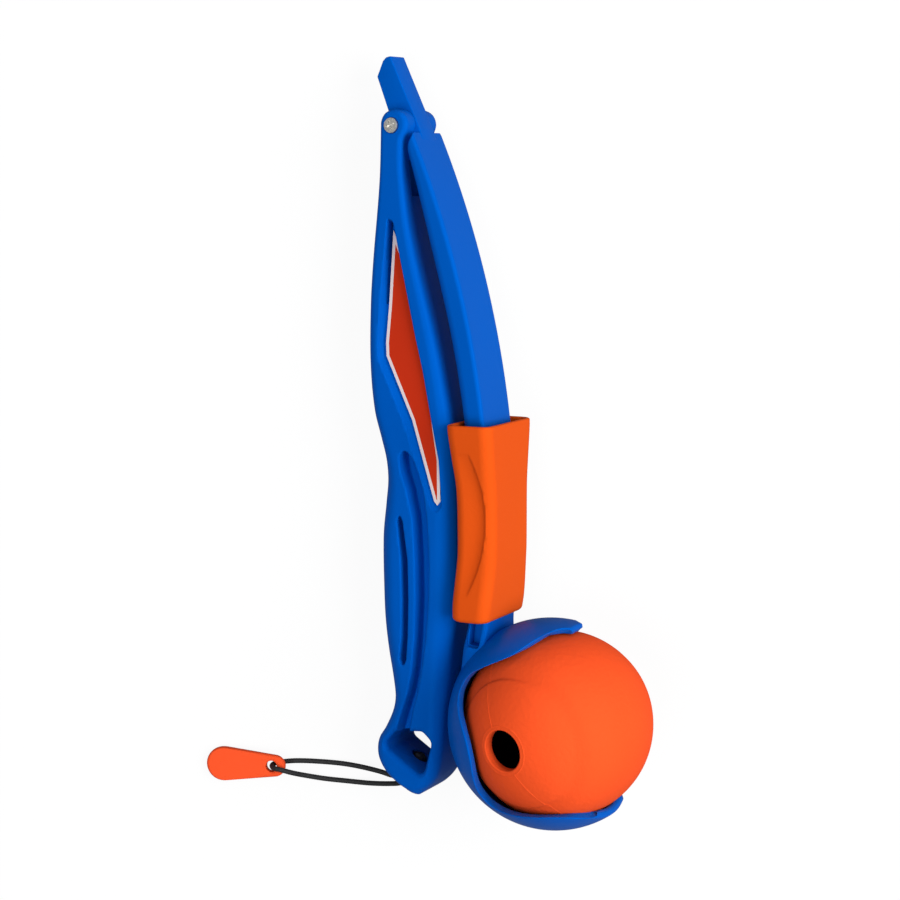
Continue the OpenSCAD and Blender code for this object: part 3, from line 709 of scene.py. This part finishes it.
def tag_rings(s):
    """The pull tag as a flat torus: each ray from its hole carries one rounded section."""
    half, soft = s.thickness / MM / 2, s.round / MM
    u = whole_turn(280)
    n = circle(1.0, 2880)
    reach = np.stack([n[:, 0] * x + r for x, r in TAG_DISCS], -1)
    pick = np.array(TAG_DISCS)[np.argmax(reach, axis=1)]
    hull = np.stack([pick[:, 0], np.zeros(len(n))], -1) + pick[:, 1:] * n
    hull = outlines([hull], 1600, 0.1)[0]
    angle, far = np.arctan2(hull[:, 1], hull[:, 0]), np.linalg.norm(hull, axis=1)
    out = np.interp(u, angle, far, period=2 * math.pi)
    hole, lip, crown = s.hole / MM / 2, 0.5, 0.12
    flat = out - soft - hole - lip
    q = np.radians(np.linspace(0, 90, 7))
    rows = [(hole + 0 * u, half * k) for k in (-0.4, 0, 0.4)]
    rows += [(hole + lip * (1 - math.cos(t)) + 0 * u, half - lip * (1 - math.sin(t))) for t in q]
    rows += [(hole + lip + flat * k, half + crown * math.sin(math.pi * k))
             for k in (0.2, 0.4, 0.6, 0.8)]
    rows += [(out - soft * (1 - math.cos(t)), half - soft * (1 - math.sin(t))) for t in q[::-1]]
    under = [(r, -z) for r, z in rows[:2:-1]]
    return np.stack([revolved(r, z, u) for r, z in rows + under])


def cord_line(step):
    """The cord's centre line in millimetres, on even steps along its length."""
    line = curve_through(CORD_ROUTE, 16)
    at = distances(line)
    even = np.linspace(0, at[-1], int(at[-1] / step))
    return np.stack([np.interp(even, at, line[:, k]) for k in range(3)], -1), at[-1]


def cord_rings(line, radius):
    """A braided tube: r (1 + e cos(4a + ks) cos(4a - ks)) about a frame carried along the line."""
    t = np.gradient(line, axis=0)
    t /= np.linalg.norm(t, axis=1, keepdims=True)
    u = np.empty_like(t)
    u[0] = np.cross(t[0], [0.2, -1, 0.1])
    for i in range(1, len(t)):
        u[i] = u[i - 1] - t[i] * (u[i - 1] @ t[i])
        u[i] /= np.linalg.norm(u[i])
    u[0] /= np.linalg.norm(u[0])
    v = np.cross(t, u)
    a = whole_turn(24)
    s = np.arange(len(line))[:, None] * np.linalg.norm(line[1] - line[0])
    r = radius * (1 + 0.045 * np.cos(4 * a + 3.2 * s) * np.cos(4 * a - 3.2 * s))
    across = np.cos(a)[:, None] * u[:, None] + np.sin(a)[:, None] * v[:, None]
    return line[:, None] + r[..., None] * across


def knot_rings(radius):
    """A pulled-tight knot: a ball that waves with its winding, r = R (0.93 + 0.07 cos w sin t)."""
    t = np.linspace(0.03, math.pi - 0.03, 60)[:, None]
    a = whole_turn(80)
    r = radius * (0.93 + 0.07 * np.cos(3 * a + 7 * t) * np.sin(t))
    seat = KNOT_SEAT - radius - 0.1
    return in_cord_hole(revolved(r * np.sin(t), seat + r * np.cos(t), a))


def new_nodes(tree, *kinds):
    """New shader nodes of these kinds in a node tree."""
    return [tree.nodes.new("ShaderNode" + kind) for kind in kinds]


def feed(node, **values):
    """Sets inputs of a node, with _ for the spaces in their names."""
    for name, value in values.items():
        node.inputs[name.replace("_", " ")].default_value = value


def wire(tree, *links):
    """Links nodes of a tree, each link as node, output, node and input."""
    for source, out, target, into in links:
        tree.links.new(source.outputs[out], target.inputs[into])


def grain_group():
    """Shader group on Object coordinates: smudges vary the roughness, fine grain the normal."""
    name = "launcher_grain"
    if name in bpy.data.node_groups:
        return bpy.data.node_groups[name]
    g = bpy.data.node_groups.new(name, "ShaderNodeTree")
    for label in ("Grain Scale", "Grain Height", "Rough Low", "Rough High"):
        g.interface.new_socket(label, in_out="INPUT", socket_type="NodeSocketFloat")
    for label, kind in (("Roughness", "Float"), ("Smudge", "Float"), ("Normal", "Vector")):
        g.interface.new_socket(label, in_out="OUTPUT", socket_type="NodeSocket" + kind)
    given, result = g.nodes.new("NodeGroupInput"), g.nodes.new("NodeGroupOutput")
    coords, smudge, grain, rough, bump = new_nodes(
        g, "TexCoord", "TexNoise", "TexNoise", "MapRange", "Bump")
    feed(smudge, Scale=22.0, Detail=4.0)
    feed(grain, Detail=3.0)
    feed(rough, From_Min=0.3, From_Max=0.7)
    feed(bump, Distance=0.0005)
    wire(g, (coords, "Object", smudge, "Vector"), (coords, "Object", grain, "Vector"),
         (given, "Grain Scale", grain, "Scale"), (smudge, "Fac", rough, "Value"),
         (given, "Rough Low", rough, "To Min"), (given, "Rough High", rough, "To Max"),
         (grain, "Fac", bump, "Height"), (given, "Grain Height", bump, "Strength"),
         (rough, "Result", result, "Roughness"), (smudge, "Fac", result, "Smudge"),
         (bump, "Normal", result, "Normal"))
    return g


def grained(name, colour, second, rough, grain, sheen=0.5, tint=(1, 1, 1), metal=0.0):
    """A Principled material whose colour, roughness and bump come from the grain group.

    The tone changes slowly from colour to second; rough is (low, high), grain is (scale, height).
    """
    m = bpy.data.materials.new(name)
    m.use_nodes = True
    bsdf = m.node_tree.nodes["Principled BSDF"]
    group, tone = new_nodes(m.node_tree, "Group", "Mix")
    group.node_tree = grain_group()
    feed(group, Grain_Scale=grain[0], Grain_Height=grain[1])
    feed(group, Rough_Low=rough[0], Rough_High=rough[1])
    tone.data_type = "RGBA"
    feed(tone, A=(*colour, 1), B=(*second, 1))
    feed(bsdf, Specular_IOR_Level=sheen, Specular_Tint=(*tint, 1), Metallic=metal)
    wire(m.node_tree, (group, "Smudge", tone, "Factor"), (tone, "Result", bsdf, "Base Color"),
         (group, "Roughness", bsdf, "Roughness"), (group, "Normal", bsdf, "Normal"))
    return m


def shaded(m, factor, colour):
    """Lets a material's colour run from colour to its own, by an output of one of its nodes."""
    base, link = m.node_tree.nodes["Principled BSDF"].inputs["Base Color"], m.node_tree.links.new
    mix, = new_nodes(m.node_tree, "Mix")
    mix.data_type = "RGBA"
    feed(mix, A=(*colour, 1))
    link(factor, mix.inputs["Factor"])
    link(base.links[0].from_socket, mix.inputs["B"])
    link(mix.outputs["Result"], base)


def paint_inside_shade(m, centre, inside, outside):
    """Darkens a material between two distances from a centre: painted shade for the ball's hollow
    inside.
    """
    coords, away, ramp = new_nodes(m.node_tree, "TexCoord", "VectorMath", "MapRange")
    away.operation = "DISTANCE"
    away.inputs[1].default_value = centre
    feed(ramp, From_Min=inside, From_Max=outside)
    wire(m.node_tree, (coords, "Object", away, 0), (away, "Value", ramp, "Value"))
    shaded(m, ramp.outputs["Result"], INSIDE_SHADE_COLOUR)


def material(slot):
    """The dressed material of a slot, made once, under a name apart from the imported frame's own."""
    name = "dressed_" + slot
    if name in bpy.data.materials:
        return bpy.data.materials[name]
    return grained(name, *LOOKS[slot])


def floor_material(s):
    """A floor whose glow and full tone only the camera sees; the lamps light the launcher."""
    m = grained("floor", s.floor, [c * 1.01 for c in s.floor], (0.6, 0.7), (300, 0.02), sheen=0.0)
    n = m.node_tree.nodes
    glow, path, share, mix = new_nodes(m.node_tree, "Emission", "LightPath", "Math", "MixShader")
    share.operation = "MULTIPLY"
    share.inputs[1].default_value = s.glow
    shaded(m, path.outputs["Is Camera Ray"], [s.bounce] * 3)
    wire(m.node_tree, (path, "Is Camera Ray", share, 0), (share, 0, mix, "Fac"),
         (n["Principled BSDF"], 0, mix, 1), (glow, 0, mix, 2),
         (mix, 0, n["Material Output"], "Surface"))
    return m


def length(name, description, default):
    """A length property, in metres."""
    return FloatProperty(
        name=name, description=description, default=default, unit="LENGTH", precision=5)


class LauncherHandle(bpy.types.PropertyGroup):
    """Sizes of the handle."""

    thickness: length("Thickness", "Along the hinge axis", 0.023)
    fork_round: length("Fork rounding", "Radius at the fork's end", 0.0018)
    loop_round: length("Loop rounding", "Radius at the loop's bottom", 0.004)
    loop_flare: length("Loop flare", "Radius round the loop's opening", 0.0022)
    recess_depth: length("Recess depth", "At the upper end of the label", 0.0032)
    recess_tip_depth: length("Recess tip depth", "At the tip of the label", 0.0009)
    gap_depth: length("Gap depth", "Beside the label's upper end", 0.0075)
    groove_depth: length("Groove depth", "In the finger groove", 0.006)
    slot_depth: length("Slot depth", "In the narrow slot", 0.007)


class LauncherArm(bpy.types.PropertyGroup):
    """Sizes of the throwing arm and its cup."""

    width: length("Width", "Across the hinge axis", 0.008)
    depth: length("Depth", "Along the hinge axis", 0.022)
    inner_round: length("Inner rounding", "Radius of the edges beside the handle", 0.003)
    outer_round: length("Outer rounding", "Radius of the outer edges", 0.0013)
    nose_round: length("Nose rounding", "Radius at the arm's upper end", 0.0026)
    swell: length("Swell", "How far the faces rise towards the cup", 0.0025)
    tongue: length("Tongue", "Thickness between the fork's cheeks", 0.01)
    pocket_depth: length("Pocket depth", "In both faces of the arm", 0.004)
    cup_outer: length("Cup radius", "Outside of the cup", 0.03625)
    cup_wall: length("Cup wall", "Thickness of the shell", 0.0029)
    rim_round: length("Rim rounding", "Radius along the cup's rim", 0.0008)
    lip_round: length("Lip rounding", "Radius at the ends of the two lips", 0.0012)
    lip_draw: length("Lip draw", "How far the upper lip is drawn in", 0.001)


class LauncherSleeve(bpy.types.PropertyGroup):
    """Sizes of the locking sleeve."""

    length: length("Length", "From mouth to foot", 0.067)
    wall: length("Wall", "Thickness at the mouth", 0.0018)
    round: length("Rounding", "Radius of the long edges", 0.004)
    foot_round: length("Foot rounding", "Radius at the lower end", 0.0016)
    collar: length("Collar", "Length that slides on the arm", 0.026)
    dent_depth: length("Dent depth", "In the leaf shapes", 0.0011)


class LauncherBall(bpy.types.PropertyGroup):
    """Sizes of the ball."""

    diameter: length("Diameter", "Between the caps", 0.0635)
    wall: length("Wall", "Thickness of the rubber", 0.0055)
    hole: length("Hole", "Diameter right through the ball", 0.0138)
    chamfer: length("Chamfer", "Width of the hole's softened edge", 0.0004)
    ring: length("Ring", "From the hole to the flash round it", 0.0015)
    cap: length("Cap", "Height round the hole", 0.0006)
    shoulder: length("Shoulder", "Height round the cap with the hole", 0.0009)


class LauncherCord(bpy.types.PropertyGroup):
    """Sizes of the cord, its knot and the pull tag."""

    diameter: length("Cord", "Diameter", 0.0018)
    knot: length("Knot", "Diameter", 0.006)
    thickness: length("Tag thickness", "Between its faces", 0.003)
    hole: length("Tag hole", "Diameter for both strands", 0.004)
    round: length("Tag rounding", "Radius along its edge", 0.0012)


class LauncherStage(bpy.types.PropertyGroup):
    """Camera, floor and light."""

    eye: FloatVectorProperty(
        name="Eye", description="Where the camera stands", default=(0.0023, 0.09005, 0.76614),
        subtype="TRANSLATION")
    turn: FloatVectorProperty(
        name="Turn", description="How the camera is turned",
        default=tuple(math.radians(a) for a in (-7.0292, 1.809, 0.2362)), subtype="EULER")
    lens: FloatProperty(
        name="Lens", description="Focal length on a 36 mm sensor", default=88.0, unit="CAMERA")
    floor: FloatVectorProperty(
        name="Floor", description="Colour of the floor", default=(0.93, 0.93, 0.94),
        subtype="COLOR")
    glow: FloatProperty(
        name="Glow", description="Share of white in the floor as the camera sees it", default=0.92)
    bounce: FloatProperty(
        name="Bounce", description="Tone of the floor as the launcher sees it", default=0.2)


class LAUNCHER_OT_cord(bpy.types.Operator):
    """Lay the cord through the loop and the tag, with its knot."""

    bl_idname = "launcher.cord"
    bl_label = "Cord, knot and tag"

    def execute(self, context):
        s = context.scene.launcher_cord
        flat = turned(tag_rings(s), 0, -TAG_TILT) + TAG_AT
        tag = mesh_object("pull_tag_moulded", [flat * MM], closed=True)
        place(tag, "handle", "pull_tag", "tag_rubber")
        line, long = cord_line(0.22)
        cord = mesh_object("lanyard_cord_braided", [cord_rings(line, s.diameter / MM / 2) * MM])
        place(cord, "handle", "lanyard_cord", "cord_fabric", sharp=60)
        knot = mesh_object("cord_knot_tied", [laid(knot_rings(s.knot / MM / 2))])
        place(knot, "handle", "cord_knot", "cord_fabric", sharp=60)
        return {"FINISHED"}


class LAUNCHER_OT_handle(bpy.types.Operator):
    """Mould the handle with its fork, recesses, groove, slot and loop."""

    bl_idname = "launcher.handle"
    bl_label = "Handle"

    def execute(self, context):
        s = context.scene.launcher_handle
        obj = mesh_object("handle_moulded", [laid(handle_rings(s))])
        for cutters in handle_cuts(s):
            combine(obj, "DIFFERENCE", cutters)
        place(obj, "handle", "handle", "blue_plastic")
        return {"FINISHED"}


class LAUNCHER_OT_arm(bpy.types.Operator):
    """Mould the throwing arm with its tongue and its scooped cup."""

    bl_idname = "launcher.arm"
    bl_label = "Throwing arm"

    def execute(self, context):
        s = context.scene.launcher_arm
        obj = mesh_object("throwing_arm_moulded", [laid(arm_rings(s))])
        for grid in (cup_rings(s), *tongue_rings(s)):
            combine(obj, "UNION", [laid(grid)])
        cutter, bore = arm_pocket(s), lathe((BARREL_BORE, -6), (BARREL_BORE, 6))
        combine(obj, "DIFFERENCE", [laid(cutter), laid(cutter * MIRROR), laid(bore)])
        place(obj, "arm", "throwing_arm", "blue_plastic")
        return {"FINISHED"}


class LAUNCHER_OT_sleeve(bpy.types.Operator):
    """Mould the locking sleeve with its leaf-shaped dents."""

    bl_idname = "launcher.sleeve"
    bl_label = "Locking sleeve"

    def execute(self, context):
        s = context.scene.launcher_sleeve
        obj = mesh_object("locking_sleeve_moulded", [laid(sleeve_rings(s))])
        combine(obj, "DIFFERENCE", [laid(sleeve_passage(context.scene.launcher_arm))])
        place(obj, "sleeve", "locking_sleeve", "orange_plastic")
        return {"FINISHED"}


class LAUNCHER_OT_ball(bpy.types.Operator):
    """Mould the ball with its caps and the hole through it."""

    bl_idname = "launcher.ball"
    bl_label = "Ball"

    def execute(self, context):
        s = context.scene.launcher_ball
        rings = turned(ball_rings(s), *BALL_TILT) + BALL_C
        obj = mesh_object("ball_moulded", [laid(rings)], closed=True)
        place(obj, "ball", "ball", "ball_rubber")
        room = s.diameter / 2 - s.wall
        # Painted shade: the ball's inside is darkened in its colour, as it lies in deep shade
        paint_inside_shade(obj.data.materials[0], laid(BALL_C), room + 0.0005, room + 0.0028)
        return {"FINISHED"}


class LAUNCHER_OT_fittings(bpy.types.Operator):
    """Finish the label, the screw and its barrel, which stay as the frame gives them."""

    bl_idname = "launcher.fittings"
    bl_label = "Label and hinge screw"

    def execute(self, context):
        for node, slot in (("label_panel", "label_print"), ("label_border", "label_edge"),
                           ("pivot_screw", "steel"), ("pivot_barrel", "steel")):
            dress(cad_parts[node], slot)
        for node in ("pivot_screw", "pivot_barrel"):
            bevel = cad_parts[node].modifiers.new("soft edges", "BEVEL")
            bevel.width, bevel.segments, bevel.limit_method = 0.00018, 3, "ANGLE"
        return {"FINISHED"}


class LAUNCHER_OT_stage(bpy.types.Operator):
    """Set up the camera, a pale floor and soft light."""

    bl_idname = "launcher.stage"
    bl_label = "Camera, floor and light"

    def execute(self, context):
        s = context.scene.launcher_stage
        camera = bpy.data.objects.new("camera", bpy.data.cameras.new("camera"))
        camera.data.lens, camera.data.sensor_width, camera.data.clip_start = s.lens, 36.0, 0.01
        camera.location, camera.rotation_euler = s.eye, s.turn
        context.scene.camera = camera
        mesh = bpy.data.meshes.new("floor")
        mesh.from_pydata([(-6, -6, 0), (6, -6, 0), (6, 6, 0), (-6, 6, 0)], [], [(0, 1, 2, 3)])
        floor = bpy.data.objects.new("floor", mesh)
        floor.location.z = -0.0001
        mesh.materials.append(floor_material(s))
        stage = [camera, floor]
        for name, (at, size, power) in LAMPS.items():
            light = bpy.data.objects.new(name, bpy.data.lights.new(name, "AREA"))
            light.data.shape, light.data.size, light.data.energy = "DISK", size, power
            light.location = at
            x, y, z = LAMP_AIM - np.array(at)
            tip = math.acos(-z / np.linalg.norm([x, y, z]))
            light.rotation_euler = (tip, 0, math.atan2(y, x) - math.pi / 2)
            stage.append(light)
        for obj in stage:
            context.scene.collection.objects.link(obj)
        world = context.scene.world = context.scene.world or bpy.data.worlds.new("world")
        world.use_nodes = True
        feed(world.node_tree.nodes["Background"], Color=(1, 1, 1, 1), Strength=WORLD_LIGHT)
        context.scene.view_settings.view_transform = "Standard"
        return {"FINISHED"}


class LAUNCHER_PT_panel(bpy.types.Panel):
    """The launcher's pieces and their sizes."""

    bl_idname = "LAUNCHER_PT_panel"
    bl_label = "Ball launcher"
    bl_space_type = "VIEW_3D"
    bl_region_type = "UI"
    bl_category = "Launcher"

    def draw(self, context):
        for operator, group in PIECES:
            box = self.layout.box()
            box.operator(operator.bl_idname)
            if group:
                sizes = getattr(context.scene, group)
                for name in type(sizes).__annotations__:
                    box.prop(sizes, name)


GROUPS = {
    "launcher_cord": LauncherCord, "launcher_handle": LauncherHandle, "launcher_arm": LauncherArm,
    "launcher_sleeve": LauncherSleeve, "launcher_ball": LauncherBall,
    "launcher_stage": LauncherStage,
}
PIECES = (
    (LAUNCHER_OT_cord, "launcher_cord"), (LAUNCHER_OT_handle, "launcher_handle"),
    (LAUNCHER_OT_arm, "launcher_arm"), (LAUNCHER_OT_sleeve, "launcher_sleeve"),
    (LAUNCHER_OT_ball, "launcher_ball"), (LAUNCHER_OT_fittings, ""),
    (LAUNCHER_OT_stage, "launcher_stage"),
)


def register():
    """Adds the settings, the operators and the panel."""
    for name, group in GROUPS.items():
        bpy.utils.register_class(group)
        setattr(bpy.types.Scene, name, PointerProperty(type=group))
    for operator, _ in PIECES:
        bpy.utils.register_class(operator)
    bpy.utils.register_class(LAUNCHER_PT_panel)


def unregister():
    """Takes them away again."""
    bpy.utils.unregister_class(LAUNCHER_PT_panel)
    for operator, _ in reversed(PIECES):
        bpy.utils.unregister_class(operator)
    for name, group in GROUPS.items():
        delattr(bpy.types.Scene, name)
        bpy.utils.unregister_class(group)


def main():
    """Builds every piece round the frame, then the stage."""
    register()
    bpy.ops.launcher.cord()
    bpy.ops.launcher.handle()
    bpy.ops.launcher.arm()
    bpy.ops.launcher.sleeve()
    bpy.ops.launcher.ball()
    bpy.ops.launcher.fittings()
    bpy.ops.launcher.stage()


if __name__ == "__main__":
    main()
